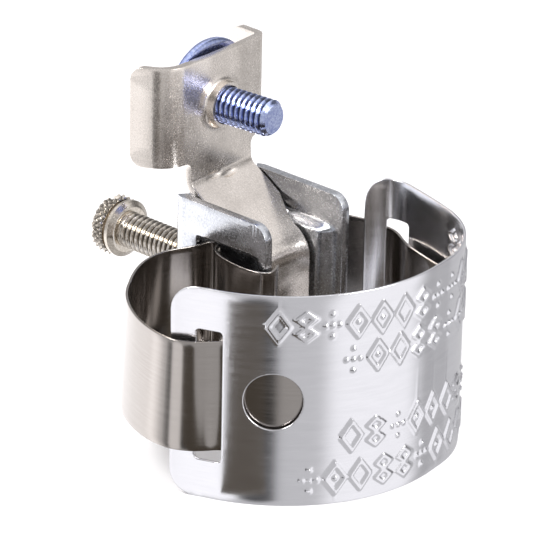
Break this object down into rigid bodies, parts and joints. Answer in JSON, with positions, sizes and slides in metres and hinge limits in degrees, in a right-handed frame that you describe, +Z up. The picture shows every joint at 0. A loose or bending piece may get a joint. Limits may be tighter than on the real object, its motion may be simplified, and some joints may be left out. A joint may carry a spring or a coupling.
{
  "type": "ground clamp",
  "caption": "Strap-type pipe ground clamp: a screw-driven saddle tightens a slotted bracket and band with a curved tag, and a terminal screw holds the wire.",
  "frame": {"origin": "bottom centre of the whole clamp's bounding box, level with the lower edges of the bracket and tag", "axes": "+X along the clamp screw from its head towards the pipe, +Z up along the pipe's own axis, +Y across the bracket"},
  "size_m": [0.0726, 0.0564, 0.0551],
  "materials": {
    "zinc_steel": "bright zinc on bent sheet steel, finely mottled",
    "strap_steel": "satin, warm grey, bent by hand",
    "tag_aluminium": "brushed along its length, embossed",
    "nickel_steel": "warm nickel, finely mottled, smooth and half glossy",
    "blue_zinc": "blue passivated zinc, glossy"
  },
  "bodies": {
    "root": {"bracket": "zinc_steel", "strap": "strap_steel"},
    "identification_tag": {"identification_tag": "tag_aluminium"},
    "terminal_plate": {"terminal_plate": "nickel_steel"},
    "clamp_screw": {"clamp_screw": "nickel_steel"},
    "terminal_washer": {"terminal_washer": "blue_zinc"},
    "terminal_screw": {"terminal_screw": "blue_zinc"}
  },
  "joints": [
    {"name": "saddle_slide", "type": "slide", "parent": "root", "child": "terminal_plate", "axis": [1, 0, 0], "range_m": [0, 0.01]},
    {"name": "clamp_screw_turn", "type": "hinge", "parent": "terminal_plate", "child": "clamp_screw", "pos_m": [-0.02167, 0.00992, 0.018], "axis": [1, 0, 0], "range_deg": [0, 3600]},
    {"name": "terminal_screw_travel", "type": "slide", "parent": "terminal_plate", "child": "terminal_washer", "axis": [-0.9976, -0.0698, 0], "range_m": [0, 0.008]},
    {"name": "terminal_screw_turn", "type": "hinge", "parent": "terminal_washer", "child": "terminal_screw", "pos_m": [-0.01302, 0.00992, 0.0453], "axis": [-0.9976, -0.0698, 0], "range_deg": [0, 2880]},
    {"name": "tag_slide", "type": "slide", "parent": "root", "child": "identification_tag", "axis": [0, 0, 1], "range_m": [0, 0.001]}
  ],
  "couplings": [
    {"joint": "clamp_screw_turn", "follows": "saddle_slide", "rad_per_m": 6283.2},
    {"joint": "terminal_screw_turn", "follows": "terminal_screw_travel", "rad_per_m": 6283.2}
  ]
}
